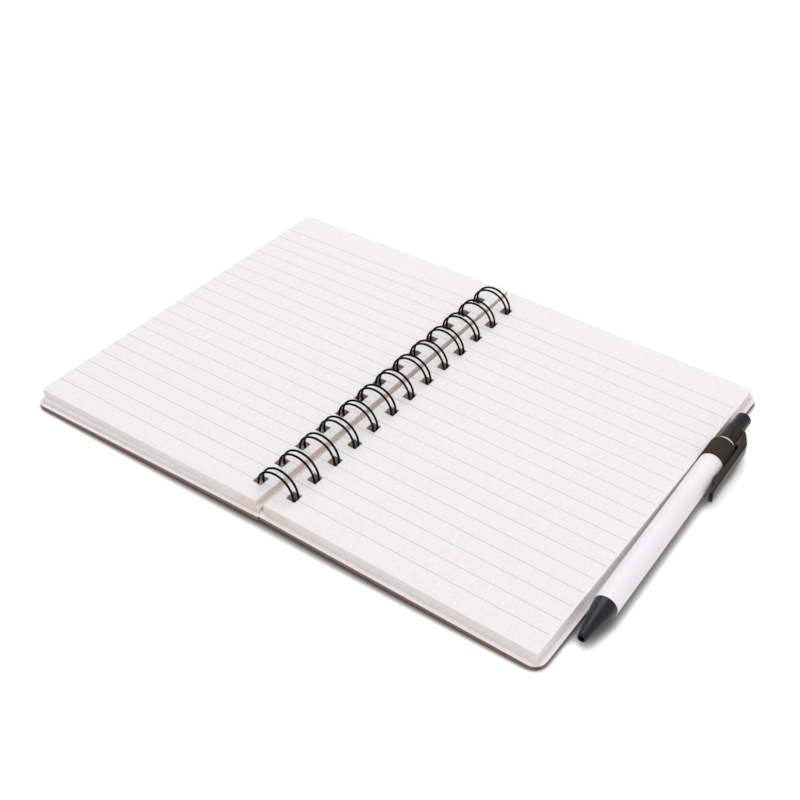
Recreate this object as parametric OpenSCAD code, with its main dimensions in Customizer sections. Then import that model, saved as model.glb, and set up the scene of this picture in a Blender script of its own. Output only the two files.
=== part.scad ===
// Wire-bound spiral notebook lying open, with a push-button ballpoint pen in an elastic loop.
// Millimetres, +Z up, table at z = 0. The ring axis runs along Y. The back cover and the pages
// that are still to turn lie at +X; the front cover and the turned pages lie at -X.
// Both halves slope gently from the rings down to the covers' outer edges, which rest on the table.

/* [Pages] */
// Width of a sheet, from its spine edge to its outer edge
page_w = 120.7; // [80:0.1:220]
// Paper in front of the first punched hole
front_margin = 8.0; // [4:0.1:20]
// Paper behind the last punched hole
back_margin = 12.2; // [4:0.1:20]
// Thickness of the pages that are still to turn
right_stack = 4.2; // [1:0.1:4.6]
// Thickness of the lower group of turned pages
turned_lower = 1.9; // [0.5:0.1:3]
// Thickness of the upper group of turned pages
turned_upper = 3.0; // [0.5:0.1:3.2]
// Paper between the spine edge and the holes
spine_strip = 4.3; // [2:0.1:5]
// Width of a punched hole across the spine
hole_w = 4.4; // [3.5:0.1:6]
// Length of a punched hole along the spine
hole_l = 4.8; // [4.3:0.1:6]

/* [Lie of the turned pages] */
// How far the lower turned group hangs back towards the front
lower_shift = 0.4; // [0:0.05:0.45]
// Angle by which the upper turned group has fanned
fan_angle = 0.7; // [0:0.1:0.8]
// Extra distance of the upper group's front corner from the rings
fan_out = 2.3; // [1:0.05:2.3]

/* [Covers] */
// Overhang of the covers beyond the pages at the front and back
cover_overhang = 2.4; // [0:0.1:6]
// Overhang of the covers beyond the outer edge of the pages
cover_side = 2.6; // [1:0.1:8]
// Thickness of the cover board
board_t = 1.7; // [1:0.1:3]
// Thickness of the glued inner liner
liner_t = 0.3; // [0.2:0.05:0.6]
// Radius of the covers' outer corners
corner_r = 5; // [1:0.5:12]
// Distance from the ring axis to the covers' spine edge
cover_edge = 0.3; // [0.2:0.1:2]

/* [Wire binding] */
// Number of twin loops
loop_count = 13; // [4:1:30]
// Spacing of the twin loops, two to the inch
loop_pitch = 12.7; // [10:0.1:16]
// Clear width inside a ring
ring_inside = 16.5; // [15:0.1:24]
// Thickness of the wire
wire_d = 0.9; // [0.6:0.05:1.1]
// Distance between the two wires of a twin loop
twin_gap = 2.85; // [2:0.05:3]
// Bend radius where a loop meets the straight wire
bend_r = 1.0; // [0.7:0.1:1.5]
// Gap left at the tips of the closed loops, as an angle
tip_gap = 22; // [20:1:40]
// How far the rings sit in front of the middle of their holes
wire_shift = 0.4; // [0:0.05:0.4]

/* [Pen] */
// Radius of the white barrel
barrel_r = 4.88; // [4.2:0.02:5.4]
// Radius of the barrel's bore
barrel_bore = 4.0; // [3.4:0.05:4.2]
// Length of the barrel from the nose joint to the push-button end
barrel_l = 102.5; // [80:0.1:120]
// Length of the nose cone
nose_l = 17.85; // [10:0.05:25]
// Radius at the end of the nose
nose_tip_r = 1.7; // [1.6:0.05:2.5]
// Length of the dark end piece that carries the clip
end_l = 11.1; // [9:0.1:20]
// Length of button that shows at rest
button_l = 8.9; // [6:0.1:12]
// Radius of the button
button_r = 3.3; // [2.8:0.05:3.4]
// Travel of the button and of the refill
button_travel = 5; // [3:0.5:6]
// Width of the clip
clip_w = 4.7; // [3:0.1:6]
// Distance of the clip's outer face from the pen's axis
clip_out = 8.3; // [7.6:0.1:10]

/* [Elastic loop] */
// Width of the elastic along the pen
loop_w = 11.5; // [6:0.1:16]
// Thickness of the elastic
loop_t = 0.5; // [0.4:0.05:0.8]
// Place of the loop's middle along the spine
loop_y = 40.5; // [-10:0.1:50]
// Length of elastic glued between the back cover's board and liner
tail_l = 12.3; // [6:0.1:30]
// Distance from the back cover's outer edge to the pen's axis at the loop
pen_side = 3.2; // [3.1:0.05:5]
// Angle of the pen to the cover's edge
pen_yaw = 1.05; // [0:0.05:1.3]

/* [Clearances] */
// Play between a wire and the outer edge of a hole in the unturned pages
hole_play = 0.55; // [0.3:0.05:0.6]
// Half of the air between the two page blocks when the book is shut, right side
top_gap_right = 0.15; // [0.05:0.05:0.3]
// The same on the left side
top_gap_left = 0.1; // [0.05:0.05:0.3]
// Sliding play around the button, refill and stem, on the radius
slide_play = 0.1; // [0.05:0.05:0.2]
// Play of the parts that are pressed together, on the radius
fit_play = 0.05; // [0.02:0.01:0.1]
// Gap between the elastic and the recess around its tail
tail_play = 0.05; // [0.03:0.01:0.2]

/* [Hidden] */
eps = 0.01;

// Pages and punched holes; y is zero at the middle of the page height
page_h = front_margin + hole_l + loop_pitch * (loop_count - 1) + back_margin;
page_front = -page_h / 2;
first_loop_y = page_front + front_margin + hole_l / 2;
last_loop_y = first_loop_y + loop_pitch * (loop_count - 1);

// Ring: centre-line radius, outer radius, height of its axis above the table
ring_r = (ring_inside + wire_d) / 2;
ring_out = ring_r + wire_d / 2;
ring_z = ring_out;

// Flat comb of wire: where a leg meets the round tip, and the steps along each stretch
leg_end = bend_r + (360 - tip_gap) / 180 * PI * ring_r;
leg_steps = 18;
tip_steps = 6;
bend_steps = 2;

// Distances from the ring axis to the spine edges of the page blocks
right_edge = ring_out + hole_play - hole_w - spine_strip;
lower_edge = right_edge + 0.3;
upper_edge = ring_out + fan_out - hole_w - spine_strip;

// Depths below the ring axis, measured square to each half of the book
right_floor = top_gap_right + right_stack;
left_split = top_gap_left + turned_upper;
left_floor = left_split + turned_lower;
right_depth = right_floor + liner_t + board_t;
left_depth = left_floor + liner_t + board_t;

// Covers, and the slope that lets their outer edges rest on the table
cover_out = right_edge + page_w + cover_side;
cover_l = page_h + 2 * cover_overhang;
tilt_right = slope(right_depth);
tilt_left = slope(left_depth);

// Pen: distances along its axis are counted from the nose joint, towards the button
loop_in_r = barrel_r + fit_play;
loop_out_r = loop_in_r + loop_t;
barrel_end = barrel_l - 1.2;
barrel_start = -1.2;
nose_tip = barrel_start - nose_l;
end_top = barrel_end + end_l;
button_top = end_top + button_l;
loop_s = barrel_end - 1.5 - loop_w / 2;
bore_r = button_r + slide_play;
stem_r = button_r - 0.8;
stem_l = 17.7;
stem_s = end_top - stem_l;
rotor_l = 3;
rotor_r = bore_r - 0.3;
refill_r = 1.5;
refill_tip_r = 1.15;
refill_seat = 2;
refill_end = stem_s - rotor_l + 1;
nib_s = nose_tip + button_travel / 2;
nose_step = nose_tip + 8;
spring_bore_r = 2.4;
spring_wire = 0.35;
spring_r = 1.75;
spring_turns = 8;
spring_bottom = nose_step + 0.1;
spring_top = refill_seat - 0.05;

// Pen in the book: it hangs in the loop at one end and lies on the table at the other
tail_depth = right_floor + liner_t + tail_play + loop_t / 2;
pen_x = cover_out + pen_side;
pen_z = ring_z - pen_x * sin(tilt_right) - tail_depth * cos(tilt_right) + loop_in_r + loop_t / 2;
pen_rest_z = barrel_r + 0.02;
pen_tilt = asin((pen_z - pen_rest_z) / loop_s);

// Clip profile along the pen: its low end, the flare, where it touches the barrel, and the knee
clip_tab = 0.4;
clip_t = 2.5;
clip_end_t = 1.7;
clip_neck_t = 1.8;
clip_low = 70.2;
clip_flare_l = 6.3;
clip_neck_l = 5.2;
clip_touch_l = 8.2;
clip_touch_end_l = 9.8;
clip_body_l = 12.5;
clip_touch_play = 0.1;
clip_knee_l = 9;
clip_knee = end_top - clip_knee_l;
clip_root = barrel_end + 0.2;
through_l = 20;
tab_x = pen_x + (clip_out + clip_tab) * cos(pen_yaw) + (loop_s - clip_low) * sin(pen_yaw);

// The origin lies below the middle of the whole object, so everything is moved along X
left_x = cover_out * cos(tilt_left) - left_floor * sin(tilt_left);
shift_x = (left_x - tab_x) / 2;

// Angle below level at which a half with this depth at its underside rests on its outer edge
function slope(depth) = asin(ring_z / norm([cover_out, depth])) - atan2(depth, cover_out);

// Distance from the ring axis at which the wire passes through a layer at this depth
function wire_at(depth) = sqrt(ring_r * ring_r - depth * depth);

// Places a shape drawn as (distance from the ring axis, along the spine, up) on the right half
module right_side() {
    translate([shift_x, 0, ring_z])
        rotate([0, tilt_right, 0])
            children();
}

// The same on the left half, with distances counted towards -X
module left_side() {
    translate([shift_x, 0, ring_z])
        mirror([1, 0, 0])
            rotate([0, tilt_left, 0])
                children();
}

// Places a shape drawn along +Z from the nose joint on the pen's axis; +X is the clip side
module on_pen() {
    translate([shift_x + pen_x, loop_y, pen_z])
        rotate([0, 0, pen_yaw])
            rotate([-(90 - pen_tilt), 0, 0])
                translate([0, 0, -loop_s])
                    children();
}

// Row of punched holes whose centres lie at this distance from the ring axis
module hole_row(centre) {
    for (i = [0 : loop_count - 1])
        translate([centre, first_loop_y + i * loop_pitch])
            square([hole_w, hole_l], center = true);
}

// Block of sheets with its spine edge at this distance from the ring axis
module page_block(edge, thickness) {
    linear_extrude(height = thickness)
        difference() {
            translate([edge, page_front])
                square([page_w, page_h]);
            hole_row(edge + spine_strip + hole_w / 2);
        }
}

// Cover layer: square corners at the spine, round outer corners
module cover_layer(thickness, depth) {
    difference() {
        linear_extrude(height = thickness)
            translate([cover_edge, -cover_l / 2])
                square([cover_out - cover_edge, cover_l]);
        for (end = [-1, 1])
            corner_waste(end, thickness);
        translate([0, 0, -1])
            linear_extrude(height = thickness + 2)
                hole_row(wire_at(depth));
    }
}

// What is cut away at an outer corner
module corner_waste(end, thickness) {
    translate([cover_out - corner_r, end * (cover_l / 2 - corner_r), -1])
        difference() {
            translate([0, end > 0 ? 0 : -corner_r - 1, 0])
                cube([corner_r + 1, corner_r + 1, thickness + 2]);
            translate([0, 0, -1])
                cylinder(r = corner_r, h = thickness + 4, $fn = 64);
        }
}

// A comb of bent wire, laid out flat and rolled around the ring axis.
// On the flat comb, s runs from the straight wires towards the tips, and y along the spine.

// Angle around the ring axis of a place on the flat comb; the bends end at the ring's lowest point
function comb_angle(s) = -90 + (s - bend_r) / ring_r * 180 / PI;

// Place and section axes of the wire at s and y, where it heads at this angle from the s direction
function comb_frame(s, y, heading) =
    let (a = comb_angle(s))
        let (along = [-sin(a), 0, cos(a)])
            [
                [ring_r * cos(a), y, ring_z + ring_r * sin(a)],
                [cos(a), 0, sin(a)],
                sin(heading) * along - cos(heading) * [0, 1, 0]
            ];

// Stretch of wire around a bend on the flat comb
function comb_bend(centre_s, centre_y, radius, from, to, turn, steps) = [
    for (k = [0 : steps])
        let (a = from + (to - from) * k / steps)
            comb_frame(centre_s + radius * cos(a), centre_y + radius * sin(a), a + turn)
];

// Leg of a twin loop from one place on the comb to another, without its two ends
function comb_leg(from, to, y, heading) = [
    for (k = [1 : leg_steps - 1])
        comb_frame(from + (to - from) * k / leg_steps, y, heading)
];

// One twin loop: out along the front leg, around the tip and back along the rear leg
function comb_loop(y, first, last) = concat(
    first
        ? [comb_frame(bend_r, y - twin_gap / 2, 0)]
        : comb_bend(bend_r, y - twin_gap / 2 - bend_r, bend_r, 180, 90, -90, bend_steps),
    comb_leg(bend_r, leg_end, y - twin_gap / 2, 0),
    comb_bend(leg_end, y, twin_gap / 2, -90, 90, 90, tip_steps),
    comb_leg(leg_end, bend_r, y + twin_gap / 2, 180),
    last
        ? [comb_frame(bend_r, y + twin_gap / 2, 180)]
        : comb_bend(bend_r, y + twin_gap / 2 + bend_r, bend_r, 270, 180, -90, bend_steps)
);

// Wire binding
module wire_binding() {
    color([0.07, 0.06, 0.07])
        translate([shift_x, 0, 0])
            bent_wire([
                for (i = [0 : loop_count - 1])
                    each comb_loop(first_loop_y - wire_shift + i * loop_pitch, i == 0, i == loop_count - 1)
            ], wire_d / 2, 8);
}

// Round wire through a list of [place, section axis, other section axis]
module bent_wire(frames, radius, sides) {
    count = len(frames);
    points = [
        for (f = frames)
            for (j = [0 : sides - 1])
                f[0] + radius * cos(360 * j / sides) * f[1] + radius * sin(360 * j / sides) * f[2]
    ];
    walls = [
        for (k = [0 : count - 2])
            for (j = [0 : sides - 1])
                let (a = k * sides + j, b = k * sides + (j + 1) % sides)
                    each [[a, b, b + sides], [a, b + sides, a + sides]]
    ];
    first = [[for (j = [sides - 1 : -1 : 0]) j]];
    last = [[for (j = [0 : sides - 1]) (count - 1) * sides + j]];
    polyhedron(points = points, faces = concat(walls, first, last));
}

// Board of the back cover, with the recess for the tail of the elastic
module back_cover_board() {
    color([0.33, 0.25, 0.23])
        right_side()
            difference() {
                translate([0, 0, -right_depth])
                    cover_layer(board_t, right_depth - board_t / 2);
                translate([cover_out - tail_l - tail_play, loop_y - loop_w / 2 - tail_play,
                           -right_floor - liner_t - loop_t - 2 * tail_play])
                    cube([tail_l + 5, loop_w + 2 * tail_play, loop_t + 5]);
            }
}

// Pale liner on the inside of the back cover
module back_cover_liner() {
    color([0.92, 0.88, 0.88])
        right_side()
            translate([0, 0, -right_floor - liner_t])
                cover_layer(liner_t, right_depth - board_t / 2);
}

// Board of the front cover
module front_cover_board() {
    color([0.33, 0.25, 0.23])
        left_side()
            translate([0, 0, -left_depth])
                cover_layer(board_t, left_depth - board_t / 2);
}

// Pale liner on the inside of the front cover
module front_cover_liner() {
    color([0.92, 0.88, 0.88])
        left_side()
            translate([0, 0, -left_floor - liner_t])
                cover_layer(liner_t, left_depth - board_t / 2);
}

// Pages that are still to turn
module right_pages() {
    color([0.95, 0.94, 0.94])
        right_side()
            translate([0, 0, -right_floor])
                page_block(right_edge, right_stack);
}

// Lower group of turned pages
module turned_pages_lower() {
    color([0.94, 0.92, 0.92])
        left_side()
            translate([0, -lower_shift, -left_floor])
                page_block(lower_edge, turned_lower);
}

// Upper group of turned pages, fanned about its front spine corner
module turned_pages_upper() {
    color([0.95, 0.94, 0.94])
        left_side()
            translate([upper_edge, page_front, -left_split])
                rotate([0, 0, fan_angle])
                    translate([-upper_edge, -page_front, 0])
                        page_block(upper_edge, turned_upper);
}

// Elastic loop: a flat band around the pen with its tail glued into the back cover
module pen_loop() {
    color([0.24, 0.21, 0.2]) {
        difference() {
            union() {
                on_pen()
                    translate([0, 0, loop_s - loop_w / 2])
                        rotate_extrude($fn = 72)
                            polygon([
                                [loop_in_r - 0.3, 0],
                                [loop_out_r, 0],
                                [loop_out_r, loop_w - 2],
                                [loop_out_r - 0.2, loop_w],
                                [loop_in_r - 0.3, loop_w]
                            ]);
                right_side()
                    translate([cover_out - tail_l, loop_y - loop_w / 2, -tail_depth - loop_t / 2])
                        cube([tail_l + pen_side, loop_w, loop_t]);
            }
            on_pen()
                translate([0, 0, loop_s - loop_w])
                    cylinder(r = loop_in_r, h = 2 * loop_w, $fn = 72);
        }
    }
}

// White barrel: a plain tube that narrows at the button end
module pen_barrel() {
    color([0.95, 0.93, 0.94])
        on_pen()
            rotate_extrude($fn = 72)
                polygon([
                    [barrel_bore, barrel_start],
                    [barrel_r, barrel_start],
                    [barrel_r, barrel_end - 2.4],
                    [barrel_bore + 0.35, barrel_end],
                    [barrel_bore, barrel_end]
                ]);
}

// Nose cone with its spigot in the barrel; the narrow bore guides the refill's tip
module pen_nose() {
    color([0.14, 0.13, 0.16])
        on_pen()
            rotate_extrude($fn = 72)
                polygon([
                    [refill_tip_r + slide_play, nose_tip],
                    [nose_tip_r - 0.1, nose_tip],
                    [nose_tip_r + 0.2, nose_tip + 0.7],
                    [barrel_r - 0.68, barrel_start - 3.8],
                    [barrel_r - 0.33, barrel_start - 1.8],
                    [barrel_r - 0.18, barrel_start],
                    [barrel_bore - fit_play, barrel_start],
                    [barrel_bore - fit_play, barrel_start + 7.7],
                    [barrel_bore - 0.45, barrel_start + 8.2],
                    [spring_bore_r, barrel_start + 8.2],
                    [spring_bore_r, nose_step],
                    [refill_tip_r + slide_play, nose_step]
                ]);
}

// Dark end piece: spigot in the barrel, stepped bore for the button, and the clip
module pen_clip_housing() {
    color([0.2, 0.17, 0.17])
        on_pen()
            difference() {
                union() {
                    rotate_extrude($fn = 72)
                        polygon([
                            [0, barrel_end - 12.2],
                            [barrel_bore - fit_play, barrel_end - 12.2],
                            [barrel_bore - fit_play, barrel_end],
                            [barrel_bore + 0.1, barrel_end],
                            [barrel_bore - 0.05, end_top - 0.4],
                            [bore_r + 0.2, end_top],
                            [0, end_top]
                        ]);
                    clip();
                }
                translate([0, 0, end_top - button_travel - 0.4])
                    cylinder(r = bore_r, h = through_l, $fn = 72);
                translate([0, 0, stem_s])
                    cylinder(r = stem_r + slide_play, h = through_l, $fn = 72);
                translate([0, 0, barrel_end - through_l])
                    cylinder(r = rotor_r + slide_play, h = through_l - 1.2, $fn = 72);
            }
}

// Flat spring clip: leaves the end piece, runs along the barrel, touches it and flares out
module clip() {
    rotate([90, 0, 0])
        linear_extrude(height = clip_w, center = true)
            polygon([
                [bore_r + 0.3, end_top - 0.4],
                [bore_r + 0.6, end_top - 0.5],
                [barrel_bore + 1.2, end_top - 2.3],
                [clip_out - 0.3, clip_knee + 0.7],
                [clip_out, clip_knee],
                [clip_out, clip_low + clip_flare_l],
                [clip_out + clip_tab, clip_low],
                [clip_out + clip_tab - clip_end_t, clip_low],
                [clip_out - clip_neck_t, clip_low + clip_neck_l],
                [barrel_r + clip_touch_play, clip_low + clip_touch_l],
                [barrel_r + clip_touch_play, clip_low + clip_touch_end_l],
                [clip_out - clip_t, clip_low + clip_body_l],
                [clip_out - clip_t, clip_root],
                [bore_r + 0.3, clip_root]
            ]);
}

// Push button with its narrower stem
module pen_button() {
    color([0.12, 0.11, 0.14])
        on_pen()
            rotate_extrude($fn = 72)
                polygon([
                    [0, stem_s],
                    [stem_r, stem_s],
                    [stem_r, end_top - 0.2],
                    [button_r, end_top - 0.2],
                    [button_r, button_top - 0.9],
                    [button_r - 0.12, button_top - 0.45],
                    [button_r - 0.45, button_top - 0.12],
                    [button_r - 0.9, button_top],
                    [0, button_top]
                ]);
}

// Cam rotor between the button and the refill, with four guide fins
module pen_cam_rotor() {
    color([0.85, 0.85, 0.84])
        on_pen()
            translate([0, 0, stem_s - rotor_l])
                difference() {
                    union() {
                        cylinder(r = rotor_r - 0.6, h = rotor_l, $fn = 48);
                        for (i = [0 : 3])
                            rotate([0, 0, 45 + 90 * i])
                                translate([rotor_r - 1.2, -0.4, 0.4])
                                    cube([1.15, 0.8, rotor_l - 0.8]);
                    }
                    translate([0, 0, -1])
                        cylinder(r = refill_r + fit_play, h = 2, $fn = 48);
                }
}

// Plastic ink tube with the collar that the spring pushes on
module pen_refill_tube() {
    color([0.9, 0.9, 0.92])
        on_pen()
            rotate_extrude($fn = 48)
                polygon([
                    [0, refill_seat + 3.1],
                    [1, refill_seat + 3.1],
                    [1, refill_seat],
                    [spring_r + 0.35, refill_seat],
                    [spring_r + 0.35, refill_seat + 1],
                    [refill_r, refill_seat + 1.4],
                    [refill_r, refill_end - 0.02],
                    [0, refill_end - 0.02]
                ]);
}

// Metal writing tip pressed into the ink tube, drawn back inside the nose
module pen_refill_tip() {
    color([0.78, 0.74, 0.66])
        on_pen()
            rotate_extrude($fn = 48)
                polygon([
                    [0, nib_s],
                    [0.25, nib_s + 0.06],
                    [0.35, nib_s + 0.35],
                    [0.42, nib_s + 0.5],
                    [refill_tip_r, nib_s + 2.6],
                    [refill_tip_r, refill_seat - 0.02],
                    [1 - fit_play, refill_seat - 0.02],
                    [1 - fit_play, refill_seat + 3],
                    [0, refill_seat + 3]
                ]);
}

// Return spring: a helix of round wire
module pen_spring() {
    rise = spring_top - spring_bottom - spring_wire;
    steps = 12 * spring_turns;
    color([0.7, 0.7, 0.7])
        on_pen()
            bent_wire([
                for (k = [0 : steps])
                    let (a = 360 * spring_turns * k / steps)
                        [
                            [
                                spring_r * cos(a),
                                spring_r * sin(a),
                                spring_bottom + spring_wire / 2 + rise * k / steps
                            ],
                            [cos(a), sin(a), 0],
                            [0, 0, 1]
                        ]
            ], spring_wire / 2, 6);
}

wire_binding();
back_cover_board();
back_cover_liner();
front_cover_board();
front_cover_liner();
right_pages();
turned_pages_lower();
turned_pages_upper();
pen_loop();
pen_barrel();
pen_nose();
pen_clip_housing();
pen_button();
pen_cam_rotor();
pen_refill_tube();
pen_refill_tip();
pen_spring();
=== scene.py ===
import bpy
import bmesh
import math
from mathutils import Euler, Matrix, Vector


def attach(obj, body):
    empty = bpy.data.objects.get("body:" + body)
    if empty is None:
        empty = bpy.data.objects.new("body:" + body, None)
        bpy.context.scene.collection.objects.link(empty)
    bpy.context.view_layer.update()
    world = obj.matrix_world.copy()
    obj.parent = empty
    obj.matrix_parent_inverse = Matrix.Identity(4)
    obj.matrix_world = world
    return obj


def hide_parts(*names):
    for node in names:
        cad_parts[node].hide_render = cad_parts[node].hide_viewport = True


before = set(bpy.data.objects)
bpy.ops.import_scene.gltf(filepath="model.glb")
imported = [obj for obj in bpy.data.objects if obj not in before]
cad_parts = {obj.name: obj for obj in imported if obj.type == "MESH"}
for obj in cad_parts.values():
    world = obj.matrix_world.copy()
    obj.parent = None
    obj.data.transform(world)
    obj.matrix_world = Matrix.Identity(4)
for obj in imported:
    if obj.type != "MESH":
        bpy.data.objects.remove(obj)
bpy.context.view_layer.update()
scene = bpy.context.scene
mm = 0.001

# Where the ring axis and the pen lie, in millimetres from the frame's origin
book = {
    "ringX": -6.2204,
    "ringZ": 9.15,
    "ringRadius": 8.7,
    "tiltRight": math.radians(1.29151),
    "tiltLeft": math.radians(0.99157),
    "pageFront": -88.7,
    "pageWidth": 120.7,
    "pageHeight": 177.4,
    "coverReach": 124.3,
    "coverHalf": 91.1,
    "firstLoop": -78.3,
    "loopPitch": 12.7,
    "loopCount": 13,
    "holeWidth": 4.4,
    "holeLength": 4.8,
    "spineStrip": 4.3,
}

# The pen turns about the middle of its elastic loop
penLie = {
    "fromRings": 127.5, "loopY": 40.5, "loopZ": 6.5075,
    "yaw": 1.05, "tilt": 0.97936, "loopAlong": 94.05,
}
loopCentre = Vector((book["ringX"] + penLie["fromRings"], penLie["loopY"], penLie["loopZ"])) * mm
penPlace = (
    Matrix.Translation(loopCentre)
    @ Matrix.Rotation(math.radians(penLie["yaw"]), 4, "Z")
    @ Matrix.Rotation(math.radians(-(90 - penLie["tilt"])), 4, "X")
    @ Matrix.Translation((0, 0, -penLie["loopAlong"] * mm))
)


def onRight(u, y, w):
    # u runs away from the ring axis, w square to the right half of the book
    c, s = math.cos(book["tiltRight"]), math.sin(book["tiltRight"])
    return Vector((book["ringX"] + u * c + w * s, y, book["ringZ"] - u * s + w * c)) * mm


def onLeft(u, y, w):
    c, s = math.cos(book["tiltLeft"]), math.sin(book["tiltLeft"])
    return Vector((book["ringX"] - u * c - w * s, y, book["ringZ"] - u * s + w * c)) * mm


def addObject(name, mesh):
    made = bpy.data.objects.new(name, mesh)
    scene.collection.objects.link(made)
    return made


def meshFrom(name, points, faces, edges=()):
    mesh = bpy.data.meshes.new(name)
    mesh.from_pydata([tuple(p) for p in points], list(edges), faces)
    mesh.update()
    return mesh


def smoothBySharpness(mesh, degrees):
    mesh.polygons.foreach_set("use_smooth", [True] * len(mesh.polygons))
    mesh.set_sharp_from_angle(angle=math.radians(degrees))
    mesh.update()


def applyModifiers(piece):
    # the result of all modifiers becomes the piece's own mesh
    graph = bpy.context.evaluated_depsgraph_get()
    made = bpy.data.meshes.new_from_object(piece.evaluated_get(graph))
    piece.modifiers.clear()
    piece.data = made
    made.name = piece.name
    return piece


def outward(mesh):
    work = bmesh.new()
    work.from_mesh(mesh)
    bmesh.ops.remove_doubles(work, verts=work.verts, dist=1e-7)
    bmesh.ops.recalc_face_normals(work, faces=work.faces)
    work.to_mesh(mesh)
    work.free()
    mesh.update()


# Helpers for material nodes

def addNode(tree, kind, settings=None, inputs=None):
    made = tree.nodes.new(kind)
    for key, value in (settings or {}).items():
        setattr(made, key, value)
    for key, value in (inputs or {}).items():
        if isinstance(value, bpy.types.NodeSocket):
            tree.links.new(value, made.inputs[key])
        else:
            made.inputs[key].default_value = value
    return made


def mathNode(tree, operation, a, b=0.0, clamp=False):
    settings = {"operation": operation, "use_clamp": clamp}
    return addNode(tree, "ShaderNodeMath", settings, {0: a, 1: b}).outputs[0]


def newMaterial(name, **shader):
    material = bpy.data.materials.new(name)
    material.use_nodes = True
    tree = material.node_tree
    surface = tree.nodes["Principled BSDF"]
    for key, value in shader.items():
        surface.inputs[key.replace("_", " ")].default_value = value
    place = addNode(tree, "ShaderNodeTexCoord").outputs["Object"]
    return material, tree, surface, place


def noise(tree, place, scale, detail=3.0, rough=0.55):
    inputs = {"Vector": place, "Scale": scale, "Detail": detail, "Roughness": rough}
    return addNode(tree, "ShaderNodeTexNoise", None, inputs).outputs["Fac"]


def ramp(tree, factor, stops):
    made = addNode(tree, "ShaderNodeValToRGB", None, {"Fac": factor})
    band = made.color_ramp.elements
    while len(band) < len(stops):
        band.new(0.5)
    for element, (position, colour) in zip(band, stops):
        element.position = position
        element.color = (*colour, 1)
    return made.outputs["Color"]


def mixColour(tree, factor, a, b, blend="MIX"):
    made = addNode(tree, "ShaderNodeMix", {"data_type": "RGBA", "blend_type": blend})
    for socket, value in ((made.inputs[0], factor), (made.inputs[6], a), (made.inputs[7], b)):
        if isinstance(value, bpy.types.NodeSocket):
            tree.links.new(value, socket)
        elif socket.type == "RGBA":
            socket.default_value = (*value, 1)
        else:
            socket.default_value = value
    return made.outputs[2]


def bump(tree, surface, height, strength, distance):
    inputs = {"Height": height, "Strength": strength, "Distance": distance}
    made = addNode(tree, "ShaderNodeBump", None, inputs)
    tree.links.new(made.outputs["Normal"], surface.inputs["Normal"])
    return made


def fromAxis(tree, place):
    # how far a point lies from the ring axis, and from the middle of the spine
    split = addNode(tree, "ShaderNodeSeparateXYZ", None, {0: place})
    across = mathNode(tree, "SUBTRACT", split.outputs["X"], book["ringX"] * mm)
    return mathNode(tree, "ABSOLUTE", across), mathNode(tree, "ABSOLUTE", split.outputs["Y"])


def directlySeen(tree):
    # 1 where a camera, glossy or transmission ray meets the surface
    rays = addNode(tree, "ShaderNodeLightPath")
    mirrored = mathNode(tree, "MAXIMUM", rays.outputs["Is Glossy Ray"], rays.outputs["Is Transmission Ray"])
    return mathNode(tree, "MAXIMUM", rays.outputs["Is Camera Ray"], mirrored)


def grey(level):
    return (level, level, level)


def srgb(*levels):
    # colour levels from 0 to 255 as linear light
    linear = []
    for level in levels:
        c = level / 255
        linear.append(c / 12.92 if c <= 0.04045 else ((c + 0.055) / 1.055) ** 2.4)
    return tuple(linear)


print("stage: helpers ready")

# Camera, as the photograph was taken

camera = bpy.data.objects.new("photoCamera", bpy.data.cameras.new("photoCamera"))
scene.collection.objects.link(camera)
camera.data.sensor_width = 36
camera.data.lens = 57.556
camera.data.clip_start = 0.01
camera.data.shift_x = -0.000625
camera.data.shift_y = 0.000625
camera.location = (0.2423271, -0.3451053, 0.3427868)
camera.rotation_euler = Euler((math.radians(51.2453), 0, math.radians(35.6147)))
scene.camera = camera

# Materials

paper = {
    "white": srgb(241, 239, 240),
    "grain": srgb(233, 231, 232),
    "line": srgb(188, 184, 187),
    "lineWidth": 0.30,
    "lineStep": 7.97,
    "lineCount": 20,
    "edge": srgb(251, 244, 243),
    "edgeDark": srgb(237, 227, 224),
    # colour multiplied in as painted shade on the walls of the punched holes
    "holeWallShade": srgb(188, 172, 160),
    "spineTan": srgb(255, 241, 224),
    "tanWithin": 0.016,
    "tanFade": 0.006,
    "holesFrom": 0.0048,
    "holesTo": 0.013,
    "holesEnd": 0.0872,
    "rightFirstLine": -78.85,
    "rightLinesEnd": 0.11433,
    "leftFirstLine": -79.35,
    "leftLean": math.radians(1.0),
    "leftPivot": 3.85,
}


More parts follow.
